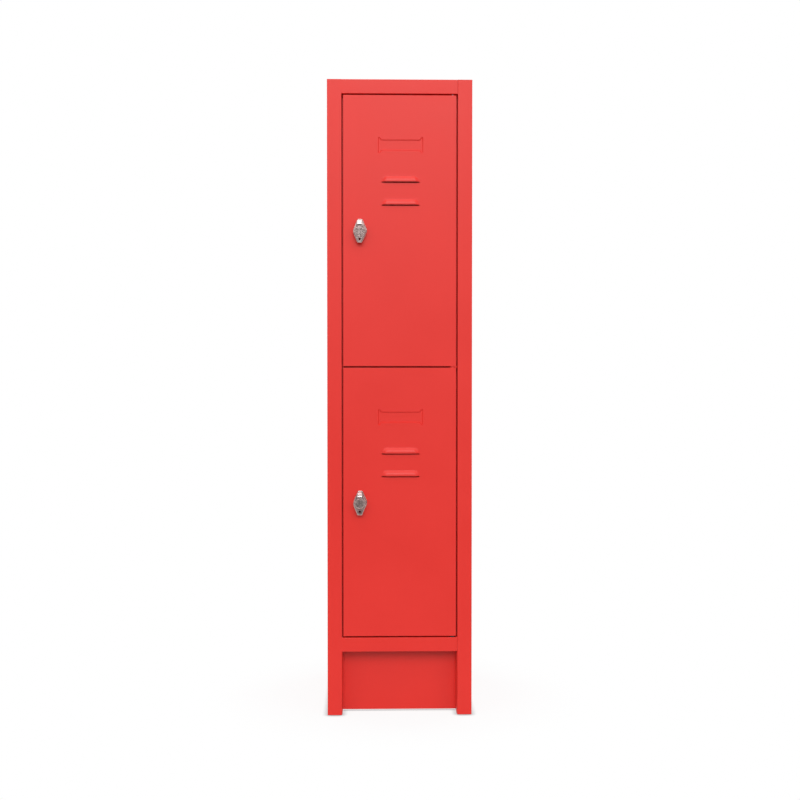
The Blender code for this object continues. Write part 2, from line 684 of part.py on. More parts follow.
def door_stiffener(tier, axis):
    """Hat channel welded inside the pan beside the hinge."""
    foot = SHEET + SEAM_GAP
    crown = foot + STIFFENER_DEPTH
    half = STIFFENER_CROWN / 2.0
    corners = [(-half - STIFFENER_FOOT, foot), (-half, foot), (-half, crown),
               (half, crown), (half, foot), (half + STIFFENER_FOOT, foot)]
    ends = (DOOR_BOTTOMS[tier] + STIFFENER_END_GAP, DOOR_BOTTOMS[tier] + DOOR_HEIGHT - STIFFENER_END_GAP)
    bm = bmesh.new()
    path = rounded(corners, BEND_RADIUS)
    rows = [row(bm, [Vector((STIFFENER_X + p.x, FRONT + p.y, z)) for z in ends]) for p in path]
    for before, after in zip(rows, rows[1:]):
        strip(bm, before, after)
    face_outwards(bm, (STIFFENER_X, FRONT + crown, ends[0] + DOOR_HEIGHT / 2.0), (0.0, -1.0, 0.0))
    made = add_object(tier + "_door_stiffener", bm, MATERIALS["red_paint"], axis)
    thicken(made)


def door_buffers(tier):
    """Two rubber buttons on the latch-side stop lip, behind the door's edge."""
    x = -(OPENING_SIDE - STOP_LIP + DOOR_SIDE) / 2.0
    front = DOOR_THICKNESS + SEAM_GAP
    rear = STOP_DEPTH - SEAM_GAP
    profile = [(0.0, front), (BUFFER_RADIUS - BUFFER_EDGE, front), (BUFFER_RADIUS, front + BUFFER_EDGE),
               (BUFFER_RADIUS, rear), (0.0, rear)]
    bottom = DOOR_BOTTOMS[tier]
    for place, z in (("low", bottom + BUFFER_INSET), ("high", bottom + DOOR_HEIGHT - BUFFER_INSET)):
        bm = turned(profile, SMALL_ROUND_STEPS, from_front(x, z))
        add_object(tier + "_door_buffer_" + place, bm, MATERIALS["black_rubber"])


def arc(centre, radius, first, last, steps):
    """Points of an arc between two angles, both ends included."""
    angles = [first + (last - first) * step / steps for step in range(steps + 1)]
    return [centre + radius * Vector((math.cos(a), math.sin(a))) for a in angles]


def tipped_outline(radius, height, tip_width):
    """Round plate drawn out into a blunt tip above and below, with straight sides."""
    tip = Vector((tip_width / 2.0, height / 2.0))
    lean = math.atan2(tip.y, tip.x) - math.acos(radius / tip.length)
    side = arc(Vector((0.0, 0.0)), radius, -lean, lean, 2 * BEND_STEPS)
    touch = side[-1]
    corners = [touch, tip, Vector((-tip.x, tip.y)), Vector((-touch.x, touch.y))]
    cap = rounded(corners, LATCH_TIP_RADIUS)
    half = side + cap[1:-1]
    return half + [-point for point in half]


def latch_base(tier, axis, z):
    """Cast plate on the door's face, with a padlock hole at each tip and a barrel through the door."""
    place = from_front(LATCH_X, z)
    middle = from_front(LATCH_X + LATCH_PLATE_SHIFT_X, z + LATCH_PLATE_SHIFT_Z)
    outline = tipped_outline(LATCH_PLATE_RADIUS, LATCH_PLATE_HEIGHT, LATCH_PLATE_TIP_WIDTH)
    plate = prism(outline, -PLATE_FRONT, -SEAM_GAP, middle)
    round_front(plate, LATCH_PLATE_EDGE_ROUND)
    made = add_object(tier + "_latch_base", plate, MATERIALS["zinc"], axis)
    inside = -(PLATE_FRONT + SEAM_GAP) / 2.0
    join(made, cylinder(tier + "_barrel", BARREL_RADIUS, inside, BARREL_LENGTH, place, axis))
    bore = SPINDLE_RADIUS + RUNNING_CLEARANCE
    past = CUTTER_OVERRUN
    cut(made, cylinder(tier + "_bore", bore, -PLATE_FRONT - past, BARREL_LENGTH + past, place, axis))
    for way in (-1.0, 1.0):
        at = from_front(LATCH_X, z + way * PADLOCK_HOLE_OFFSET)
        name = tier + "_base_padlock_hole_" + ("low" if way < 0.0 else "high")
        cut(made, cylinder(name, PADLOCK_HOLE_RADIUS, -PLATE_FRONT - past, past, at, axis))


def latch_nut(tier, axis, z):
    """Hexagon nut that clamps the barrel behind the door's sheet."""
    place = from_front(LATCH_X, z)
    start = SHEET + SEAM_GAP
    bm = prism(circle(NUT_ACROSS_FLATS / math.sqrt(3.0), 6), start, start + NUT_HEIGHT, place)
    made = add_object(tier + "_latch_nut", bm, MATERIALS["zinc"], axis)
    past = CUTTER_OVERRUN
    bore = BARREL_RADIUS + SEAM_GAP
    cut(made, cylinder(tier + "_nut_bore", bore, start - past, start + NUT_HEIGHT + past, place, axis))


def latch_knob(tier, axis, z):
    """Turning body with a padlock lug below, a rimmed face, a grip tab above and a square-ended spindle."""
    place = from_front(LATCH_X, z)
    outline = tipped_outline(KNOB_RADIUS, KNOB_HEIGHT, KNOB_NECK_WIDTH)
    body = prism(outline, -KNOB_FRONT, -KNOB_BACK, place)
    round_front(body, KNOB_EDGE_ROUND)
    made = add_object(tier + "_latch_knob", body, MATERIALS["zinc"], axis)
    inside = -(KNOB_FRONT + KNOB_BACK) / 2.0
    face = -KNOB_FRONT - KNOB_FACE_HEIGHT
    dish = KNOB_FACE_RADIUS - KNOB_RIM
    profile = [(0.0, face + KNOB_DISH), (dish - KNOB_DISH, face + KNOB_DISH), (dish, face),
               (KNOB_FACE_RADIUS - KNOB_FACE_EDGE, face), (KNOB_FACE_RADIUS, face + KNOB_FACE_EDGE),
               (KNOB_FACE_RADIUS, inside), (0.0, inside)]
    head = add_object(tier + "_knob_face", turned(profile, ROUND_STEPS, place), MATERIALS["zinc"], axis)
    join(made, head)
    half = KNOB_NECK_WIDTH / 2.0 - KNOB_TAB_EDGE
    tip = KNOB_HEIGHT / 2.0 - KNOB_TAB_EDGE
    crest = -KNOB_FRONT - KNOB_TAB_HEIGHT
    wedge = [(KNOB_TAB_ROOT, inside), (KNOB_TAB_ROOT, crest), (KNOB_TAB_ROOT + KNOB_TAB_CREST, crest),
             (tip, -KNOB_FRONT), (tip, inside)]
    grip = prism(wedge, -half, half, lambda up, level, x: Vector((LATCH_X + x, FRONT + level, z + up)))
    join(made, add_object(tier + "_knob_grip", grip, MATERIALS["zinc"], axis))
    join(made, cylinder(tier + "_spindle", SPINDLE_RADIUS, inside, CAM_FRONT - SEAM_GAP, place, axis))
    square = SPINDLE_SQUARE / 2.0
    corners = [(-square, -square), (square, -square), (square, square), (-square, square)]
    end = prism(corners, CAM_FRONT - SPINDLE_SQUARE, SPINDLE_END - SEAM_GAP, place)
    join(made, add_object(tier + "_spindle_square", end, MATERIALS["zinc"], axis))
    bore = SCREW_RADIUS + SEAM_GAP
    bottom = SPINDLE_END - SCREW_DEPTH - CUTTER_OVERRUN
    cut(made, cylinder(tier + "_screw_bore", bore, bottom, SPINDLE_END + CUTTER_OVERRUN, place, axis))
    lug = from_front(LATCH_X, z - PADLOCK_HOLE_OFFSET)
    past = KNOB_FRONT + CUTTER_OVERRUN
    cut(made, cylinder(tier + "_lug_hole", PADLOCK_HOLE_RADIUS, -past, CUTTER_OVERRUN - KNOB_BACK, lug, axis))


def latch_cam(tier, axis, z):
    """Lever on the spindle's square, with its washer and screw; at rest it points away from the stop lip."""
    place = from_front(LATCH_X, z)
    half = CAM_WIDTH / 2.0
    corners = [(-CAM_TAIL, -half), (CAM_LENGTH, -half), (CAM_LENGTH, half), (-CAM_TAIL, half)]
    outline = rounded(corners, half - SEAM_GAP, closed=True, steps=2 * BEND_STEPS)
    lever = prism(outline, CAM_FRONT, SPINDLE_END, place)
    made = add_object(tier + "_latch_cam", lever, MATERIALS["zinc"], axis)
    side = SPINDLE_SQUARE / 2.0 + SEAM_GAP
    square = [(-side, -side), (side, -side), (side, side), (-side, side)]
    hole = prism(square, CAM_FRONT - CUTTER_OVERRUN, SPINDLE_END + CUTTER_OVERRUN, place)
    cut(made, add_object(tier + "_cam_square", hole, MATERIALS["zinc"], axis))
    start = SPINDLE_END + SEAM_GAP
    end = start + CAM_WASHER_THICKNESS
    profile = ring(SCREW_RADIUS + SEAM_GAP, CAM_WASHER_RADIUS, start, end)
    add_object(tier + "_cam_washer", turned(profile, SMALL_ROUND_STEPS, place), MATERIALS["zinc"], axis)
    under = end + SEAM_GAP
    over = under + SCREW_HEAD_HEIGHT
    crown = SCREW_HEAD_RADIUS - SCREW_HEAD_EDGE
    socket = over - SCREW_DRIVE_DEPTH
    bottom = SPINDLE_END - SCREW_DEPTH
    profile = [(0.0, bottom), (SCREW_RADIUS, bottom), (SCREW_RADIUS, under),
               (SCREW_HEAD_RADIUS, under), (SCREW_HEAD_RADIUS, over - SCREW_HEAD_EDGE), (crown, over),
               (SCREW_DRIVE_RADIUS, over), (SCREW_DRIVE_RADIUS, socket), (0.0, socket)]
    add_object(tier + "_cam_screw", turned(profile, SMALL_ROUND_STEPS, place), MATERIALS["zinc"], axis)


def build():
    clear_scene()
    for name, finish in FINISHES.items():
        MATERIALS[name] = paint(name, *finish)
    side_panel("side_panel_left", -1.0)
    side_panel("side_panel_right", 1.0)
    top_panel()
    bottom_panel()
    divider_shelf()
    back_panel()
    kick_plate()
    middle_pivot_bracket()
    pivot_pins()
    bottom_pivot_washer()
    coat_hook("upper", LOCKER_HEIGHT)
    coat_hook("lower", SHELF_TOP)
    for tier, bottom in DOOR_BOTTOMS.items():
        door_axis = add_axis(tier + "_door_axis", (PIVOT_X, PIVOT_Y, bottom))
        door_panel(tier, door_axis)
        door_stiffener(tier, door_axis)
        door_buffers(tier)
        latch_z = bottom + DOOR_HEIGHT - LATCH_DROP
        latch_base(tier, door_axis, latch_z)
        latch_nut(tier, door_axis, latch_z)
        latch_axis = add_axis(tier + "_latch_axis", (LATCH_X, FRONT, latch_z), door_axis)
        latch_knob(tier, latch_axis, latch_z)
        latch_cam(tier, latch_axis, latch_z)
    for made in bpy.data.objects:
        if made.type == "MESH" and not made.hide_render:
            made.modifiers.new("even_shading", "WEIGHTED_NORMAL").keep_sharp = True


build()
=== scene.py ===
"""Finishes a two-door steel compartment locker around its frame: sheet, hardware, paint, plating and studio.

Metres, +Z up, the doors face -Y. The frame's pieces keep their places; new pieces stand for them.
"""
import json
import math

import bpy
from bpy.props import FloatProperty, FloatVectorProperty, IntProperty, PointerProperty
from bpy.types import Operator, Panel, PropertyGroup
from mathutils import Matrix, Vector

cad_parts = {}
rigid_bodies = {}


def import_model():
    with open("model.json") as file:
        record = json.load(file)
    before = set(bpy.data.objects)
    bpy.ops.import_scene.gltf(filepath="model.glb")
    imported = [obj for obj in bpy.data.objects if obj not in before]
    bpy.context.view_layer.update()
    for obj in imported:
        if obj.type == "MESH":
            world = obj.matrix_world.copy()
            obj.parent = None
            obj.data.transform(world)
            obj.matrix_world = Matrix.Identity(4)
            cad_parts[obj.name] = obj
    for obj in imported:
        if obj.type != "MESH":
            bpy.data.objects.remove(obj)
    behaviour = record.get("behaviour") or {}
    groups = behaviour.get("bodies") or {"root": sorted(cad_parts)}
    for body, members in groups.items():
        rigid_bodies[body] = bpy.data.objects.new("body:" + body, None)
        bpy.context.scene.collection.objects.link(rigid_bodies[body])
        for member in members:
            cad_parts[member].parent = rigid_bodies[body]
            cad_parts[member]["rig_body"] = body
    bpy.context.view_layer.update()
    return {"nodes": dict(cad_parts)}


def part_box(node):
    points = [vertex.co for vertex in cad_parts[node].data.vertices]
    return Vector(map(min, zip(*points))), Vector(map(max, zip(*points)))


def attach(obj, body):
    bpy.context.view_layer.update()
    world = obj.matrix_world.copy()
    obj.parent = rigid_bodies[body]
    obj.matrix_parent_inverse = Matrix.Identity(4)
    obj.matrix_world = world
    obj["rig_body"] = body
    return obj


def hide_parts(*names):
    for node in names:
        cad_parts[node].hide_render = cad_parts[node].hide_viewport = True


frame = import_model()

bl_info = {
    "name": "Compartment locker",
    "version": (1, 0, 0),
    "blender": (4, 5, 0),
    "location": "View3D > Sidebar > Locker",
    "description": "Finishes a two-door steel compartment locker and sets it in a plain studio",
    "category": "Object",
}

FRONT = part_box("side_panel_left")[0].y
MILLIMETRE = 0.001
ACROSS = Vector((1.0, 0.0, 0.0))
INWARDS = Vector((0.0, 1.0, 0.0))
UP = Vector((0.0, 0.0, 1.0))

# Sheets of the frame, whose shape is right and only needs its raw edges rounded
CARCASS_SHEETS = ("side_panel_left", "side_panel_right", "top_panel", "bottom_panel", "divider_shelf",
                  "back_panel", "kick_plate", "middle_pivot_bracket")

# Merging and shading of a piece taken over from the frame
MERGE_DISTANCE = 0.00001
FLAT_ANGLE = math.radians(0.05)
RAW_EDGE_ANGLE = math.radians(50.0)
SMOOTH_ANGLE = math.radians(35.0)

# Ground welds beside the rails, whose low crown rises and falls in even strips
RAIL_HEIGHT = 0.040
WELD_CROWN = 0.00005
WELD_DEPTH = 0.001
WELD_STRIPS = (1.0, 1.0, 0.0, -1.0, -1.0)

# Hinge pins
PIN_RADIUS = 0.003
PIN_POINT = 0.0015
PIN_HEAD_HEIGHT = 0.0022
PIN_DOME = 0.0008
PIN_CLEARANCE = 0.0003
PIN_EDGE_ANGLE = math.radians(30.0)

# Turn latch: threaded barrel of the base, its nut, and the screw and washer that hold the cam
BARREL_RADIUS = 0.0095
BARREL_GAP = 0.0003
THREAD_RIDGE = 0.00022
THREAD_FLANK_SHARE = 0.4
NUT_CHAMFER = math.radians(30.0)
NUT_MOUTH = 0.0008
NUT_EDGE_ANGLE = math.radians(25.0)
SCREW_RADIUS = 0.0022
SCREW_POINT = 0.0005
SCREW_HEAD_RADIUS = 0.0045
SCREW_HEAD_HEIGHT = 0.003
SCREW_DOME = 0.002
SCREW_GAP = 0.0003
RECESS_LENGTH = 0.005
RECESS_WIDTH = 0.001
RECESS_DEPTH = 0.0015

# Coat hook: a strip bent three times, and its rivets
HOOK_WIDTH = 0.018
HOOK_THICKNESS = 0.0025
HOOK_EDGE = 0.0004
HOOK_BEND = 0.005
HOOK_BEND_STEPS = 8
HOOK_REACH = 0.028
HOOK_UPTURN = 0.016
HOOK_TIP_RADIUS = 0.007
HOOK_TIP_STEPS = 6
RIVETS = ("hook_rivet_upper_front", "hook_rivet_upper_rear",
          "hook_rivet_lower_front", "hook_rivet_lower_rear")
RIVET_RADIUS = 0.002
RIVET_HEAD_HEIGHT = 0.0016

# Door buffers: shares of the radius and of the height, from the dish in front over the groove to the back
BUFFERS = ("upper_door_buffer_low", "upper_door_buffer_high",
           "lower_door_buffer_low", "lower_door_buffer_high")
BUFFER_PROFILE = ((0.0, 0.10), (0.35, 0.06), (0.5, 0.0), (0.67, 0.0), (0.9, 0.07), (1.0, 0.2), (1.0, 0.55),
                  (0.88, 0.62), (0.88, 0.72), (1.0, 0.78), (1.0, 1.0), (0.0, 1.0))
BUFFER_EDGE_ANGLE = math.radians(40.0)

# Patterns of the materials: where most of a noise lies, the depth of fine relief, and the waves of thin sheet
NOISE_LOW = 0.3
NOISE_HIGH = 0.7
RELIEF_DEPTH = 0.0001
WAVE_LENGTH = 0.22
WAVE_DEPTH = 0.0004
WAVE_STRENGTH = 0.25
PAINT_IOR = 1.5

# Floor: its look and the grey that lights the locker, how white it is beside the locker and further off,
# how far the contact shadow reaches, and where the floor's mirror image darkens towards the camera
FLOOR_SIZE = 14.0
FLOOR_ROUGHNESS = 0.9
FLOOR_LOOK = "#F4F4F4"
FLOOR_BOUNCE = "#A6A6A6"
FLOOR_WHITE_NEAR = 0.9
FLOOR_NEAR = 0.3
FLOOR_FAR = 0.6
CONTACT_SHADOW = 0.017
FLOOR_MIRROR_NEAR = 0.8
FLOOR_MIRROR_FAR = 2.5

# Room: how far a direction points to the camera's side where the room's mirror image darkens
ROOM_WHITE = "#FFFFFF"
ROOM_MIRROR_NEAR = 0.1
ROOM_MIRROR_FAR = 0.9

# Soft box above the front
TOP_LIGHT_SIZE = (1.0, 1.4)
TOP_LIGHT_PLACE = Vector((0.0, -1.6, 3.8))
TOP_LIGHT_AIM = Vector((0.0, FRONT, 0.9))


def linear(hex_colour):
    """Linear colour, with alpha, of an sRGB hex value."""
    channels = [int(hex_colour[place:place + 2], 16) / 255.0 for place in (1, 3, 5)]
    return tuple(c / 12.92 if c <= 0.04045 else ((c + 0.055) / 1.055) ** 2.4 for c in channels) + (1.0,)


class LockerFinish(PropertyGroup):
    """Colours and gloss of the locker's materials."""
    paint: FloatVectorProperty(
        name="Paint", description="Red of the powder coat", subtype="COLOR", size=4,
        min=0.0, max=1.0, default=linear("#E4271C"))
    paint_roughness: FloatProperty(
        name="Paint roughness", description="How satin the powder coat is", subtype="FACTOR",
        min=0.1, max=0.9, default=0.42)
    cast_metal: FloatVectorProperty(
        name="Cast metal", description="Grey of the cast latches", subtype="COLOR", size=4,
        min=0.0, max=1.0, default=linear("#CAB3AF"))
    cast_roughness: FloatProperty(
        name="Cast roughness", description="How satin the cast latches are", subtype="FACTOR",
        min=0.1, max=0.9, default=0.24)
    plating: FloatVectorProperty(
        name="Plating", description="Tint of the plated steel fittings", subtype="COLOR", size=4,
        min=0.0, max=1.0, default=linear("#C9CACB"))
    black: FloatVectorProperty(
        name="Black", description="Black of the washer and buffers", subtype="COLOR", size=4,
        min=0.0, max=1.0, default=linear("#1B1A1A"))


class LockerForm(PropertyGroup):
    """Sizes of the finishing work."""
    sheet_edge: FloatProperty(
        name="Sheet edge", description="Rounding of the raw sheet edges under the paint", unit="LENGTH",
        min=0.0001, max=0.0005, default=0.0003)
    cast_edge: FloatProperty(
        name="Cast edge", description="Rounding of the cast latches' edges", unit="LENGTH",
        min=0.0001, max=0.001, default=0.0004)
    turned_edge: FloatProperty(
        name="Turned edge", description="Rounding of pins, rivets, washers and screws", unit="LENGTH",
        min=0.00005, max=0.0004, default=0.0002)
    turned_steps: IntProperty(
        name="Turned steps", description="Faces round a turned piece", min=16, max=96, default=48)
    edge_steps: IntProperty(
        name="Edge steps", description="Faces across a rounded edge", min=1, max=4, default=2)
    thread_pitch: FloatProperty(
        name="Thread pitch", description="Rise of the barrel's thread in one turn", unit="LENGTH",
        min=0.0008, max=0.002, default=0.00125)
    weld_width: FloatProperty(
        name="Weld width", description="Width of the ground welds beside the rails", unit="LENGTH",
        min=0.001, max=0.004, default=0.0024)


class LockerStage(PropertyGroup):
    """Camera and light."""
    lens: FloatProperty(
        name="Lens", description="Focal length on a 36 mm sensor", unit="CAMERA",
        min=20.0, max=200.0, default=55.64)
    distance: FloatProperty(
        name="Distance", description="Camera to the doors", unit="LENGTH", min=1.0, max=8.0, default=3.5)
    side: FloatProperty(
        name="Side", description="Camera to the right of the locker's middle", unit="LENGTH",
        min=-2.0, max=2.0, default=-0.08)
    height: FloatProperty(
        name="Height", description="Camera above the floor", unit="LENGTH", min=0.1, max=3.0, default=0.979)
    aim: FloatVectorProperty(
        name="Aim", description="Point of the doors' plane in the middle of the picture: across and up",
        subtype="XYZ_LENGTH", size=2, default=(0.0008, 0.897))
    key_strength: FloatProperty(
        name="Key light", description="Soft light from above the camera", min=0.0, max=10.0, default=1.08)
    key_height: FloatProperty(
        name="Key height", description="How high the key and side lights stand above the horizon",
        subtype="ANGLE", min=0.0, max=1.5, default=math.radians(28.0))
    side_strength: FloatProperty(
        name="Side lights", description="Soft light from each side of the camera",
        min=0.0, max=10.0, default=0.3)
    side_angle: FloatProperty(
        name="Side angle", description="How far the side lights stand to each side", subtype="ANGLE",
        min=0.0, max=1.5, default=math.radians(42.0))
    back_strength: FloatProperty(
        name="Back lights", description="Soft light from each side behind the locker",
        min=0.0, max=10.0, default=0.62)
    back_angle: FloatProperty(
        name="Back angle", description="How far round the back lights stand from the camera's side",
        subtype="ANGLE", min=1.6, max=3.1, default=math.radians(130.0))
    back_height: FloatProperty(
        name="Back height", description="How high the back lights stand above the horizon", subtype="ANGLE",
        min=0.0, max=1.5, default=math.radians(12.0))
    light_spread: FloatProperty(
        name="Light spread", description="How wide a soft light looks from the locker", subtype="ANGLE",
        min=0.0, max=1.5, default=math.radians(24.0))
    top_power: FloatProperty(
        name="Top light", description="Soft box above the front", unit="POWER",
        min=0.0, max=500.0, default=9.0)
    room_level: FloatProperty(
        name="Room level", description="Light that comes from all round", min=0.0, max=2.0, default=0.65)
    camera_side_level: FloatProperty(
        name="Camera side", description="How bright the room behind the camera looks in metal and paint",
        subtype="FACTOR", min=0.0, max=1.0, default=0.25)


def add_node(tree, kind, settings=(), **inputs):
    """Add a shader node. Its inputs, by name or as _number, are set to values or linked to other sockets."""
    node = tree.nodes.new(kind)
    for name, value in dict(settings).items():
        setattr(node, name, value)
    for name, value in inputs.items():
        socket = node.inputs[int(name[1:])] if name[1:].isdigit() else node.inputs[name.replace("_", " ")]
        if isinstance(value, bpy.types.NodeSocket):
            tree.links.new(value, socket)
        else:
            socket.default_value = value
    return node


def new_material(name, colour, cloud, shade, roughness, grain, relief, metallic=0.0):
    """Material whose colour and gloss follow a cloudy noise, and whose fine relief follows a grain.

    cloud and grain are each a size in millimetres and a detail. shade and roughness are the ranges that the
    clouds go through, and relief is the strength of the grain.
    """
    made = bpy.data.materials.new(name)
    made.use_nodes = True
    tree = made.node_tree
    surface = tree.nodes["Principled BSDF"]
    surface.inputs["Metallic"].default_value = metallic
    place = add_node(tree, "ShaderNodeTexCoord").outputs["Object"]
    clouds, grains = (
        add_node(tree, "ShaderNodeTexNoise", Vector=place, Scale=1.0 / (size * MILLIMETRE), Detail=detail)
        for size, detail in (cloud, grain))
    value, gloss = (
        add_node(tree, "ShaderNodeMapRange", Value=clouds.outputs["Fac"],
                 From_Min=NOISE_LOW, From_Max=NOISE_HIGH, To_Min=low, To_Max=high)
        for low, high in (shade, roughness))
    tint = add_node(tree, "ShaderNodeHueSaturation", Color=colour, Value=value.outputs["Result"])
    bumps = add_node(tree, "ShaderNodeBump", Strength=relief, Distance=RELIEF_DEPTH,
                     Height=grains.outputs["Fac"])
    tree.links.new(tint.outputs["Color"], surface.inputs["Base Color"])
    tree.links.new(gloss.outputs["Result"], surface.inputs["Roughness"])
    tree.links.new(bumps.outputs["Normal"], surface.inputs["Normal"])
    return made


def powder_coat(finish):
    """Polyester powder coat, baked on thin steel sheet.

    It flows out almost level. The eye sees an even satin red, a faint orange peel in the highlights, whose
    real cells are about 1 mm and are drawn at 2.5 mm so that they show, and the slow waviness of thin sheet.
    """
    made = new_material("red_powder_coat", finish.paint, cloud=(180.0, 2.0), shade=(0.985, 1.015),
                        roughness=(finish.paint_roughness - 0.03, finish.paint_roughness + 0.03),
                        grain=(2.5, 1.0), relief=0.05)
    tree = made.node_tree
    waves = add_node(tree, "ShaderNodeTexNoise", Vector=tree.nodes["Texture Coordinate"].outputs["Object"],
                     Scale=1.0 / WAVE_LENGTH, Detail=0.0)
    wavy = add_node(tree, "ShaderNodeBump", Strength=WAVE_STRENGTH, Distance=WAVE_DEPTH,
                    Height=waves.outputs["Fac"], Normal=tree.nodes["Bump"].outputs["Normal"])
    surface = tree.nodes["Principled BSDF"]
    tree.links.new(wavy.outputs["Normal"], surface.inputs["Normal"])
    surface.inputs["IOR"].default_value = PAINT_IOR
    return made


def cast_zinc(finish):
    """Die-cast zinc alloy, tumbled smooth: a satin grey metal with a cloudy gloss and a fine grain."""
    return new_material("cast_zinc", finish.cast_metal, cloud=(7.0, 3.0), shade=(0.85, 1.12),
                        roughness=(finish.cast_roughness - 0.06, finish.cast_roughness + 0.08),
                        grain=(0.8, 2.0), relief=0.08, metallic=1.0)


def plated_steel(finish):
    """Zinc-plated steel: brighter than the castings, with a slight cloud in the plating and a fine grain."""
    return new_material("zinc_plated_steel", finish.plating, cloud=(5.0, 2.0), shade=(0.85, 1.05),
                        roughness=(0.22, 0.38), grain=(0.5, 1.0), relief=0.1, metallic=1.0)


def black_nylon(finish):
    """Moulded nylon: black with a slight sheen and a fine grain."""
    return new_material("black_nylon", finish.black, cloud=(2.0, 2.0), shade=(0.9, 1.2),
                        roughness=(0.42, 0.55), grain=(0.4, 2.0), relief=0.15)


def black_rubber(finish):
    """Moulded rubber: matt black, greyed a little by bloom on its surface."""
    return new_material("black_rubber", finish.black, cloud=(1.5, 3.0), shade=(0.9, 1.6),
                        roughness=(0.75, 0.92), grain=(0.4, 3.0), relief=0.25)


# Maker of each material and the record's slot that it belongs to
MATERIALS = {
    "red_powder_coat": (powder_coat, "red_paint"),
    "cast_zinc": (cast_zinc, "zinc"),
    "zinc_plated_steel": (plated_steel, "zinc"),
    "black_nylon": (black_nylon, "black_nylon"),
    "black_rubber": (black_rubber, "black_rubber"),
}


def pair(part):
    """Names of the frame's nodes for a part of the upper and of the lower door or latch."""
    return "upper_" + part, "lower_" + part


def middle(node_name):
    """Middle of a frame node's box."""
    low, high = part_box(node_name)
    return (low + high) / 2.0


def only(piece):
    """Select one object and make it the active one."""
    bpy.ops.object.select_all(action="DESELECT")
    piece.select_set(True)
    bpy.context.view_layer.objects.active = piece


def copy_of(piece, name, offset):
    """Copy of a piece with its own mesh, moved by an offset."""
    only(piece)
    bpy.ops.object.duplicate(linked=False)
    made = bpy.context.active_object
    made.name = name
    made.data.name = name
    bpy.ops.transform.translate(value=offset)
    bpy.ops.object.transform_apply(location=True, rotation=False, scale=False)
    return made


def settle(piece, body_of, finish_name, replaced=()):
    """Give a piece its material, let it move with a frame node's body and stand for the nodes it replaces."""
    maker, slot = MATERIALS[finish_name]
    finish = bpy.data.materials.get(finish_name) or maker(bpy.context.scene.locker_finish)
    piece.data.materials.clear()
    piece.data.materials.append(finish)
    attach(piece, frame["nodes"][body_of]["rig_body"])
    if replaced:
        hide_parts(*replaced)


def settle_all(made, names, finish_name):
    """Copy a piece from its frame node to the nodes like it, and let each piece stand for its node."""
    copies = [copy_of(made, name + "_finished", middle(name) - middle(names[0])) for name in names[1:]]
    for piece, name in zip([made] + copies, names):
        settle(piece, name, finish_name, [name])


def apply_modifier(piece, kind, **settings):
    """Add a modifier, set it and apply it."""
    only(piece)
    bpy.ops.object.modifier_add(type=kind)
    modifier = piece.modifiers[-1]
    for name, value in settings.items():
        setattr(modifier, name, value)
    bpy.ops.object.modifier_apply(modifier=modifier.name)


def combine(piece, other, operation):
    """Cut one solid with another, or keep what they share; the other is used up."""
    apply_modifier(piece, "BOOLEAN", object=other, operation=operation, solver="EXACT")
    bpy.data.objects.remove(other)


def smooth_off(piece, edge, angle=RAW_EDGE_ANGLE):
    """Round a piece's sharp edges and shade it with level flats."""
    steps = bpy.context.scene.locker_form.edge_steps
    apply_modifier(piece, "BEVEL", width=edge, segments=steps, limit_method="ANGLE", angle_limit=angle)
    bpy.ops.object.shade_smooth_by_angle(angle=SMOOTH_ANGLE)
    apply_modifier(piece, "WEIGHTED_NORMAL", keep_sharp=True)


def take_over(node_name, edge):
    """Merged copy of a frame node with its sharp edges rounded."""
    made = copy_of(frame["nodes"][node_name], node_name + "_finished", Vector())
    made.parent = None
    for key in list(made.keys()):
        del made[key]
    bpy.ops.mesh.customdata_custom_splitnormals_clear()
    bpy.ops.object.mode_set(mode="EDIT")
    bpy.ops.mesh.select_all(action="SELECT")
    bpy.ops.mesh.remove_doubles(threshold=MERGE_DISTANCE)
    bpy.ops.mesh.dissolve_limited(angle_limit=FLAT_ANGLE)
    bpy.ops.object.mode_set(mode="OBJECT")
    smooth_off(made, edge)
    return made


def start_point(name, place):
    """New object of one vertex, in edit mode."""
    bpy.ops.object.select_all(action="DESELECT")
    bpy.ops.mesh.primitive_plane_add(size=MILLIMETRE, location=place)
    made = bpy.context.active_object
    made.name = name
    made.data.name = name
    bpy.ops.object.mode_set(mode="EDIT")
    bpy.ops.mesh.merge(type="CENTER")
    return made


def draw_to(offset):
    """Extrude what is selected by an offset."""
    bpy.ops.mesh.extrude_region_move(TRANSFORM_OT_translate={"value": offset})


def end_drawing(made):
    """Merge, face outwards and leave edit mode with the object at the origin."""
    bpy.ops.mesh.select_all(action="SELECT")
    bpy.ops.mesh.remove_doubles(threshold=MERGE_DISTANCE)
    bpy.ops.mesh.normals_make_consistent(inside=False)
    bpy.ops.object.mode_set(mode="OBJECT")
    only(made)
    bpy.ops.object.transform_apply(location=True, rotation=False, scale=False)


def turned(name, centre, axis, profile):
    """Turn a profile of (radius, distance along the axis) points round an axis."""
    points = [centre + ACROSS * radius + axis * along for radius, along in profile]
    made = start_point(name, points[0])
    for before, after in zip(points, points[1:]):
        draw_to(after - before)
    bpy.ops.mesh.select_all(action="SELECT")
    steps = bpy.context.scene.locker_form.turned_steps
    bpy.ops.mesh.spin(steps=steps, angle=2.0 * math.pi, center=centre, axis=axis)
    end_drawing(made)
    return made


def turned_washer(node_name, axis, bore):
    """Flat ring with a bore, the size of a washer of the frame."""
    low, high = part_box(node_name)
    outer = (high.x - low.x) / 2.0
    half = (high - low).dot(axis) / 2.0
    return turned(node_name + "_finished", middle(node_name), axis, [
        (bore, -half), (outer, -half), (outer, half), (bore, half), (bore, -half)])


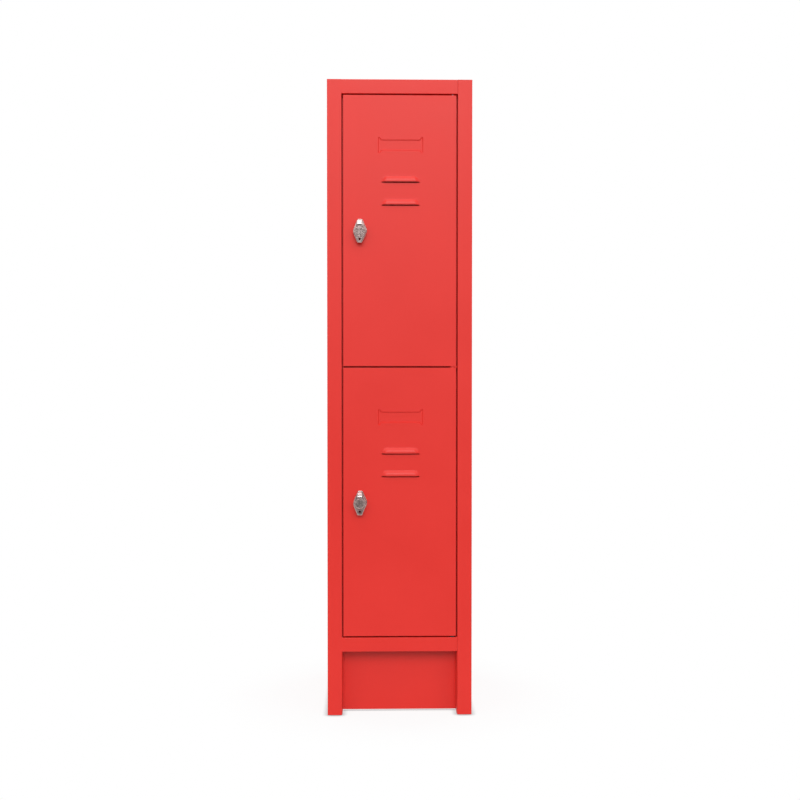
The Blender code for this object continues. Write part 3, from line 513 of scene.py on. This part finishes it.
def cap(radius, height, level, steps=8):
    """Profile of a low dome, from its crown to its rim."""
    turns = [math.pi / 2.0 * step / steps for step in range(steps + 1)]
    return [(radius * math.sin(turn), level - height * math.cos(turn)) for turn in turns]


class LOCKER_OT_carcass(Operator):
    """Round the raw edges of the carcass sheets and paint them"""
    bl_idname = "locker.carcass"
    bl_label = "Carcass sheets"

    def execute(self, context):
        for name in CARCASS_SHEETS:
            settle(take_over(name, context.scene.locker_form.sheet_edge), name, "red_powder_coat", [name])
        return {"FINISHED"}


class LOCKER_OT_welds(Operator):
    """Fill the seams between the left stile and the rails with welds, ground flush and painted over"""
    bl_idname = "locker.welds"
    bl_label = "Ground welds"

    def execute(self, context):
        width = context.scene.locker_form.weld_width
        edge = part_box("kick_plate")[0].x
        for name, rail in (("top_rail_weld", "top_panel"), ("bottom_rail_weld", "bottom_panel")):
            low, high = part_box(rail)
            bottom = max(low.z, high.z - RAIL_HEIGHT) + WELD_CROWN
            made = start_point(name, Vector((edge - width, FRONT, bottom)))
            for rise in WELD_STRIPS:
                draw_to((width / len(WELD_STRIPS), -rise * WELD_CROWN / 2.0, 0.0))
            bpy.ops.mesh.select_all(action="SELECT")
            draw_to((0.0, 0.0, high.z - bottom - WELD_CROWN))
            end_drawing(made)
            apply_modifier(made, "SOLIDIFY", thickness=WELD_DEPTH, offset=-1.0)
            smooth_off(made, WELD_CROWN)
            settle(made, rail, "red_powder_coat")
        return {"FINISHED"}


class LOCKER_OT_doors(Operator):
    """Round the raw edges of the door pans and their stiffeners and paint them"""
    bl_idname = "locker.doors"
    bl_label = "Doors"

    def execute(self, context):
        for names in (pair("door_panel"), pair("door_stiffener")):
            settle_all(take_over(names[0], context.scene.locker_form.sheet_edge), names, "red_powder_coat")
        return {"FINISHED"}


class LOCKER_OT_castings(Operator):
    """Soften the edges of the cast bases and knobs and of the cams"""
    bl_idname = "locker.castings"
    bl_label = "Latch castings"

    def execute(self, context):
        for part, finish_name in (("latch_base", "cast_zinc"), ("latch_knob", "cast_zinc"),
                                  ("latch_cam", "zinc_plated_steel")):
            names = pair(part)
            settle_all(take_over(names[0], context.scene.locker_form.cast_edge), names, finish_name)
        return {"FINISHED"}


class LOCKER_OT_threads(Operator):
    """Cut the thread of each latch's barrel, where it stands out behind its nut"""
    bl_idname = "locker.threads"
    bl_label = "Barrel threads"

    def execute(self, context):
        form = context.scene.locker_form
        pitch = form.thread_pitch
        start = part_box("upper_latch_nut")[1].y
        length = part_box("upper_latch_base")[1].y - start - 2.0 * pitch
        centre = middle("upper_latch_nut")
        made = start_point("upper_barrel_thread", Vector((centre.x, start + pitch / 2.0, centre.z)))
        bpy.ops.transform.translate(value=ACROSS * BARREL_RADIUS)
        draw_to((THREAD_RIDGE, pitch * THREAD_FLANK_SHARE, 0.0))
        draw_to((-THREAD_RIDGE, pitch * THREAD_FLANK_SHARE, 0.0))
        bpy.ops.object.mode_set(mode="OBJECT")
        apply_modifier(made, "SCREW", axis="Y", screw_offset=pitch, steps=form.turned_steps,
                       render_steps=form.turned_steps, iterations=max(1, round(length / pitch)))
        bpy.ops.object.mode_set(mode="EDIT")
        end_drawing(made)
        bpy.ops.object.shade_smooth_by_angle(angle=SMOOTH_ANGLE)
        other = copy_of(made, "lower_barrel_thread", middle("lower_latch_nut") - centre)
        settle(made, "upper_latch_base", "cast_zinc")
        settle(other, "lower_latch_base", "cast_zinc")
        return {"FINISHED"}


class LOCKER_OT_nuts(Operator):
    """Make the chamfered hexagon nuts behind the door sheets"""
    bl_idname = "locker.nuts"
    bl_label = "Latch nuts"

    def execute(self, context):
        names = pair("latch_nut")
        low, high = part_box(names[0])
        centre = middle(names[0])
        size = high - low
        corner = size.x / 2.0
        flat = size.z / 2.0
        half = size.y / 2.0
        bpy.ops.object.select_all(action="DESELECT")
        bpy.ops.mesh.primitive_cylinder_add(vertices=6, radius=corner, depth=size.y, location=centre,
                                            rotation=(math.pi / 2.0, math.pi / 6.0, 0.0))
        made = context.active_object
        made.name = names[0] + "_finished"
        made.data.name = made.name
        bpy.ops.object.transform_apply(location=True, rotation=True, scale=False)
        # The chamfer's rim reaches past the corners, and the bore past both ends
        wide = corner + MILLIMETRE
        fall = (wide - flat) * math.tan(NUT_CHAMFER)
        blank = turned("nut_chamfer", centre, INWARDS, [
            (0.0, -half), (flat, -half), (wide, fall - half), (wide, half - fall), (flat, half), (0.0, half)])
        combine(made, blank, "INTERSECT")
        bore = BARREL_RADIUS + BARREL_GAP
        mouth = bore + NUT_MOUTH + MILLIMETRE
        past = half + MILLIMETRE
        hole = turned("nut_bore", centre, INWARDS, [
            (0.0, -past), (mouth, -past), (bore, NUT_MOUTH - half), (bore, half - NUT_MOUTH), (mouth, past),
            (0.0, past)])
        combine(made, hole, "DIFFERENCE")
        smooth_off(made, context.scene.locker_form.turned_edge, NUT_EDGE_ANGLE)
        settle_all(made, names, "zinc_plated_steel")
        return {"FINISHED"}


class LOCKER_OT_cam_screws(Operator):
    """Make the screws and washers that hold the cams, each screw with a cross recess in its domed head"""
    bl_idname = "locker.cam_screws"
    bl_label = "Cam screws"

    def execute(self, context):
        edge = context.scene.locker_form.turned_edge
        screws, washers = pair("cam_screw"), pair("cam_washer")
        low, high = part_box(screws[0])
        centre = middle(screws[0])
        half = (high.y - low.y) / 2.0
        under = half - SCREW_HEAD_HEIGHT
        dome = cap(SCREW_HEAD_RADIUS, SCREW_DOME, SCREW_DOME - half)
        head = [(radius, -along) for radius, along in reversed(dome)]
        screw = turned(screws[0] + "_finished", centre, INWARDS, [
            (0.0, -half), (SCREW_RADIUS - SCREW_POINT, -half), (SCREW_RADIUS, SCREW_POINT - half),
            (SCREW_RADIUS, under), (SCREW_HEAD_RADIUS, under)] + head)
        for turn in (math.pi / 4.0, -math.pi / 4.0):
            bpy.ops.object.select_all(action="DESELECT")
            bpy.ops.mesh.primitive_cube_add(size=1.0, location=centre + INWARDS * half,
                                            rotation=(0.0, turn, 0.0),
                                            scale=(RECESS_LENGTH, 2.0 * RECESS_DEPTH, RECESS_WIDTH))
            combine(screw, context.active_object, "DIFFERENCE")
        smooth_off(screw, edge / 2.0)
        washer = turned_washer(washers[0], INWARDS, SCREW_RADIUS + SCREW_GAP)
        smooth_off(washer, edge)
        settle_all(screw, screws, "zinc_plated_steel")
        settle_all(washer, washers, "zinc_plated_steel")
        return {"FINISHED"}


class LOCKER_OT_hinges(Operator):
    """Turn the hinge pins and the washer that the lower door stands on"""
    bl_idname = "locker.hinges"
    bl_label = "Pivot hinges"

    def execute(self, context):
        edge = context.scene.locker_form.turned_edge
        for name, way in (("top_pivot_pin", -UP), ("bottom_pivot_pin", UP), ("middle_pivot_pin", UP)):
            low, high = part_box(name)
            half = (high.z - low.z) / 2.0
            point = [(PIN_RADIUS, half - PIN_POINT), (PIN_RADIUS - PIN_POINT, half), (0.0, half)]
            # The middle pin carries both doors, so it has a point at each end; the others have a domed head
            if name == "middle_pivot_pin":
                foot = [(radius, -along) for radius, along in reversed(point)]
            else:
                dome = cap((high.x - low.x) / 2.0, PIN_DOME, PIN_DOME - half)
                under = PIN_HEAD_HEIGHT - half
                foot = dome + [(dome[-1][0], under), (PIN_RADIUS, under)]
            pin = turned(name + "_finished", middle(name), way, foot + point)
            smooth_off(pin, edge, PIN_EDGE_ANGLE)
            settle(pin, name, "zinc_plated_steel", [name])
        washer = turned_washer("bottom_pivot_washer", UP, PIN_RADIUS + PIN_CLEARANCE)
        smooth_off(washer, 2.0 * edge)
        settle(washer, "bottom_pivot_washer", "black_nylon", ["bottom_pivot_washer"])
        return {"FINISHED"}


class LOCKER_OT_hooks(Operator):
    """Bend the coat hooks out of strip and set their domed rivets"""
    bl_idname = "locker.hooks"
    bl_label = "Coat hooks"

    def execute(self, context):
        low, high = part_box("coat_hook_upper")
        made = start_point("coat_hook_upper_finished", Vector((low.x, high.y, high.z)))
        steps = ((0.0, low.y + HOOK_BEND - high.y, 0.0), (0.0, 0.0, low.z - high.z + 2.0 * HOOK_BEND),
                 (0.0, HOOK_REACH - 2.0 * HOOK_BEND, 0.0))
        centres = ((0.0, low.y + HOOK_BEND, high.z - HOOK_BEND), (0.0, low.y + HOOK_BEND, low.z + HOOK_BEND),
                   (0.0, low.y + HOOK_REACH - HOOK_BEND, low.z + HOOK_BEND))
        for step, centre in zip(steps, centres):
            draw_to(step)
            bpy.ops.mesh.spin(steps=HOOK_BEND_STEPS, angle=-math.pi / 2.0, center=centre, axis=ACROSS)
        draw_to((0.0, 0.0, HOOK_UPTURN - HOOK_BEND))
        bpy.ops.mesh.select_all(action="SELECT")
        draw_to(ACROSS * HOOK_WIDTH)
        end_drawing(made)
        tip_height = low.z + HOOK_UPTURN
        for vertex in made.data.vertices:
            vertex.select = abs(vertex.co.z - tip_height) < MERGE_DISTANCE
        bpy.ops.object.mode_set(mode="EDIT")
        bpy.ops.mesh.select_mode(type="VERT")
        bpy.ops.mesh.bevel(offset=HOOK_TIP_RADIUS, segments=HOOK_TIP_STEPS, affect="VERTICES")
        bpy.ops.object.mode_set(mode="OBJECT")
        apply_modifier(made, "SOLIDIFY", thickness=HOOK_THICKNESS, offset=-1.0, use_even_offset=True)
        smooth_off(made, HOOK_EDGE)
        settle_all(made, ("coat_hook_upper", "coat_hook_lower"), "zinc_plated_steel")
        low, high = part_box(RIVETS[0])
        half = (high.z - low.z) / 2.0
        under = RIVET_HEAD_HEIGHT - half
        dome = cap((high.x - low.x) / 2.0, RIVET_HEAD_HEIGHT, under)
        rivet = turned(RIVETS[0] + "_finished", middle(RIVETS[0]), UP, dome + [
            (RIVET_RADIUS, under), (RIVET_RADIUS, half), (0.0, half)])
        smooth_off(rivet, context.scene.locker_form.turned_edge)
        settle_all(rivet, RIVETS, "zinc_plated_steel")
        return {"FINISHED"}


class LOCKER_OT_buffers(Operator):
    """Make the rubber buttons that the doors close against, dished in front and grooved round the side"""
    bl_idname = "locker.buffers"
    bl_label = "Door buffers"

    def execute(self, context):
        low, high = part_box(BUFFERS[0])
        radius = (high.x - low.x) / 2.0
        height = high.y - low.y
        profile = [(radius * out, height * along - height / 2.0) for out, along in BUFFER_PROFILE]
        button = turned(BUFFERS[0] + "_finished", middle(BUFFERS[0]), INWARDS, profile)
        smooth_off(button, context.scene.locker_form.turned_edge / 2.0, BUFFER_EDGE_ANGLE)
        settle_all(button, BUFFERS, "black_rubber")
        return {"FINISHED"}


def studio_rays(tree, place, near, far, camera_side):
    """What a ray sees at a place on the floor or in the room, as three sockets.

    The first is 1 for rays that show it straight or through glass, the second is 1 for rays that mirror it in
    metal and paint, and the third is how bright it then looks: white, and darker towards the camera's side.
    """
    path = add_node(tree, "ShaderNodeLightPath")
    direct = add_node(tree, "ShaderNodeMath", {"operation": "MAXIMUM"},
                      _0=path.outputs["Is Camera Ray"], _1=path.outputs["Is Transmission Ray"])
    parts = add_node(tree, "ShaderNodeSeparateXYZ", Vector=place)
    level = add_node(tree, "ShaderNodeMapRange", {"interpolation_type": "SMOOTHSTEP"},
                     Value=parts.outputs["Y"], From_Min=-far, From_Max=-near, To_Min=camera_side, To_Max=1.0)
    return direct.outputs["Value"], path.outputs["Is Glossy Ray"], level.outputs["Result"]


def floor_sheet(camera_side):
    """Pale studio vinyl. It looks white, keeps the locker's soft shadow, and sends a little light back up."""
    bpy.ops.object.select_all(action="DESELECT")
    bpy.ops.mesh.primitive_plane_add(size=FLOOR_SIZE)
    floor = bpy.context.active_object
    floor.name = "studio_floor"
    pale = bpy.data.materials.new("studio_vinyl")
    pale.use_nodes = True
    tree = pale.node_tree
    surface = tree.nodes["Principled BSDF"]
    surface.inputs["Roughness"].default_value = FLOOR_ROUGHNESS
    place = add_node(tree, "ShaderNodeTexCoord").outputs["Object"]
    direct, mirrored, mirror_level = studio_rays(
        tree, place, FLOOR_MIRROR_NEAR, FLOOR_MIRROR_FAR, camera_side)
    seen = add_node(tree, "ShaderNodeMath", {"operation": "MAXIMUM"}, _0=direct, _1=mirrored).outputs["Value"]
    tone = add_node(tree, "ShaderNodeMix", {"data_type": "RGBA"},
                    _0=seen, _6=linear(FLOOR_BOUNCE), _7=linear(FLOOR_LOOK))
    tree.links.new(tone.outputs[2], surface.inputs["Base Color"])
    away = add_node(tree, "ShaderNodeVectorMath", {"operation": "LENGTH"}, _0=place)
    whiteness = add_node(tree, "ShaderNodeMapRange", {"interpolation_type": "SMOOTHSTEP"},
                         Value=away.outputs["Value"], From_Min=FLOOR_NEAR, From_Max=FLOOR_FAR,
                         To_Min=FLOOR_WHITE_NEAR, To_Max=1.0)
    share = add_node(tree, "ShaderNodeMath", {"operation": "MULTIPLY"},
                     _0=seen, _1=whiteness.outputs["Result"])
    # The contact shadow looks up and back, so it is darkest right in front of the feet and the kick plate
    up_and_back = add_node(tree, "ShaderNodeCombineXYZ", Y=1.0, Z=1.0)
    contact = add_node(tree, "ShaderNodeAmbientOcclusion", Distance=CONTACT_SHADOW,
                       Normal=up_and_back.outputs["Vector"])
    strength = add_node(tree, "ShaderNodeMix", Factor=mirrored, A=contact.outputs["AO"], B=mirror_level)
    white = add_node(tree, "ShaderNodeEmission", Color=linear(ROOM_WHITE),
                     Strength=strength.outputs["Result"])
    mixed = add_node(tree, "ShaderNodeMixShader", _0=share.outputs["Value"], _1=surface.outputs["BSDF"],
                     _2=white.outputs["Emission"])
    tree.links.new(mixed.outputs["Shader"], tree.nodes["Material Output"].inputs["Surface"])
    floor.data.materials.append(pale)


def room(level, camera_side):
    """White background and plain light all round; metal and paint mirror a darker room behind the camera."""
    world = bpy.data.worlds.new("studio_room")
    bpy.context.scene.world = world
    world.use_nodes = True
    tree = world.node_tree
    tree.nodes.clear()
    direction = add_node(tree, "ShaderNodeTexCoord").outputs["Generated"]
    direct, mirrored, mirror_level = studio_rays(
        tree, direction, ROOM_MIRROR_NEAR, ROOM_MIRROR_FAR, camera_side)
    lit = add_node(tree, "ShaderNodeMix", Factor=mirrored, A=level, B=mirror_level)
    strength = add_node(tree, "ShaderNodeMix", Factor=direct, A=lit.outputs["Result"], B=1.0)
    white = add_node(tree, "ShaderNodeBackground", Color=linear(ROOM_WHITE),
                     Strength=strength.outputs["Result"])
    add_node(tree, "ShaderNodeOutputWorld", Surface=white.outputs["Background"])


def stand(name, data, place, target):
    """Put a light or camera in its place, turned to a point."""
    made = bpy.data.objects.new(name, data)
    bpy.context.scene.collection.objects.link(made)
    made.location = place
    made.rotation_euler = (target - place).to_track_quat("-Z", "Y").to_euler()
    return made


class LOCKER_OT_stage(Operator):
    """Set up the floor, the light all round, the soft lights and the camera"""
    bl_idname = "locker.stage"
    bl_label = "Studio"

    def execute(self, context):
        stage = context.scene.locker_stage
        floor_sheet(stage.camera_side_level)
        room(stage.room_level, stage.camera_side_level)
        for name, strength, turn, height in (
                ("key_light", stage.key_strength, 0.0, stage.key_height),
                ("left_light", stage.side_strength, -stage.side_angle, stage.key_height),
                ("right_light", stage.side_strength, stage.side_angle, stage.key_height),
                ("back_left_light", stage.back_strength, -stage.back_angle, stage.back_height),
                ("back_right_light", stage.back_strength, stage.back_angle, stage.back_height)):
            light = bpy.data.objects.new(name, bpy.data.lights.new(name, "SUN"))
            context.scene.collection.objects.link(light)
            light.data.energy = strength
            light.data.angle = stage.light_spread
            light.rotation_euler = (math.pi / 2.0 - height, 0.0, turn)
        top = stand("top_light", bpy.data.lights.new("top_light", "AREA"), TOP_LIGHT_PLACE, TOP_LIGHT_AIM)
        top.data.shape = "RECTANGLE"
        top.data.size, top.data.size_y = TOP_LIGHT_SIZE
        top.data.energy = stage.top_power
        place = Vector((stage.side, FRONT - stage.distance, stage.height))
        target = Vector((stage.aim[0], FRONT, stage.aim[1]))
        camera = stand("camera", bpy.data.cameras.new("camera"), place, target)
        camera.data.lens = stage.lens
        context.scene.camera = camera
        context.scene.view_settings.view_transform = "Standard"
        return {"FINISHED"}


class LOCKER_PT_sidebar(Panel):
    """Lists the steps and the sizes, colours and lights that can be changed"""
    bl_idname = "LOCKER_PT_sidebar"
    bl_label = "Locker"
    bl_space_type = "VIEW_3D"
    bl_region_type = "UI"
    bl_category = "Locker"

    def draw(self, context):
        for step in STEPS:
            self.layout.operator(step.bl_idname)
        for group in (context.scene.locker_finish, context.scene.locker_form, context.scene.locker_stage):
            box = self.layout.box()
            for name in group.__annotations__:
                box.prop(group, name)


STEPS = (LOCKER_OT_carcass, LOCKER_OT_welds, LOCKER_OT_doors, LOCKER_OT_castings, LOCKER_OT_threads,
         LOCKER_OT_nuts, LOCKER_OT_cam_screws, LOCKER_OT_hinges, LOCKER_OT_hooks, LOCKER_OT_buffers,
         LOCKER_OT_stage)
GROUPS = {"locker_finish": LockerFinish, "locker_form": LockerForm, "locker_stage": LockerStage}
CLASSES = tuple(GROUPS.values()) + STEPS + (LOCKER_PT_sidebar,)


def register():
    """Make the steps, the settings and the panel known to Blender."""
    for item in CLASSES:
        bpy.utils.register_class(item)
    for name, group in GROUPS.items():
        setattr(bpy.types.Scene, name, PointerProperty(type=group))


def unregister():
    """Take the settings, the steps and the panel away again."""
    for name in GROUPS:
        delattr(bpy.types.Scene, name)
    for item in reversed(CLASSES):
        bpy.utils.unregister_class(item)


def main():
    """Make every piece and the studio."""
    register()
    bpy.ops.locker.carcass()
    bpy.ops.locker.welds()
    bpy.ops.locker.doors()
    bpy.ops.locker.castings()
    bpy.ops.locker.threads()
    bpy.ops.locker.nuts()
    bpy.ops.locker.cam_screws()
    bpy.ops.locker.hinges()
    bpy.ops.locker.hooks()
    bpy.ops.locker.buffers()
    bpy.ops.locker.stage()


if __name__ == "__main__":
    main()
